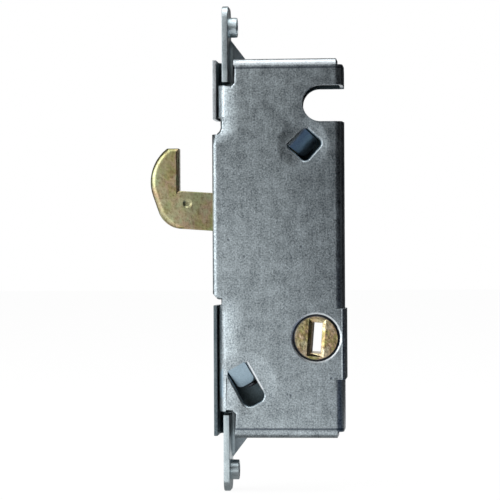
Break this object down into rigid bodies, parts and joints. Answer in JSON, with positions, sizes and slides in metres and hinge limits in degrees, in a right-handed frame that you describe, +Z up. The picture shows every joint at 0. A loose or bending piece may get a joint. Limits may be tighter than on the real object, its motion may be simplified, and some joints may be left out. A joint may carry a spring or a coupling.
{
  "type": "sliding door mortise lock",
  "caption": "Mortise lock for a sliding patio door: slim sheet-metal case with screw ears, a slotted hub, and a hook that a crank and link swing out of the front mouth.",
  "frame": {"origin": "midway between the two screw holes, on the outer face of the ears and at the middle of the case's thickness", "axes": "+X from the ears into the door stile, +Y from the cover to the back shell, +Z up along the case"},
  "size_m": [0.0519, 0.0127, 0.1282],
  "materials": {
    "zinc_sheet": "clear zinc plating, satin",
    "yellow_chromate": "yellow chromate over zinc, satin",
    "bare_steel": "turned steel",
    "bronze": "sintered bronze",
    "spring_wire": "oiled music wire"
  },
  "bodies": {
    "case": {"back_shell": "zinc_sheet", "front_cover": "zinc_sheet", "upper_ear": "zinc_sheet", "lower_ear": "zinc_sheet", "ear_rivets": "bare_steel", "hook_pivot": "bare_steel", "hook_washer": "bare_steel", "toggle_spring": "spring_wire"},
    "hub": {"tailpiece_hub": "yellow_chromate", "crank_arm": "zinc_sheet", "crank_pin": "bare_steel", "crank_pin_washer": "bare_steel", "hub_spacer": "bare_steel"},
    "link": {"drive_link": "zinc_sheet"},
    "hook": {"hook_bolt": "yellow_chromate", "hook_bush": "bronze", "hook_link_pin": "bare_steel", "hook_pin_washer": "bare_steel"}
  },
  "joints": [
    {"name": "hub_turn", "type": "hinge", "parent": "case", "child": "hub", "pos_m": [0.02465, 0, -0.0236], "axis": [0, -1, 0], "range_deg": [0, 90], "deforming": ["toggle_spring"]},
    {"name": "hook_swing", "type": "hinge", "parent": "case", "child": "hook", "pos_m": [0.0115, 0, 0.021], "axis": [0, -1, 0], "range_deg": [0, 90]},
    {"name": "link_swing", "type": "hinge", "parent": "hub", "child": "link", "pos_m": [0.01565, 0, -0.01763], "axis": [0, -1, 0], "range_deg": [-90, 0]}
  ],
  "couplings": [
    {"joint": "hook_swing", "follows": "hub_turn", "ratio": 1},
    {"joint": "link_swing", "follows": "hub_turn", "ratio": -1}
  ]
}
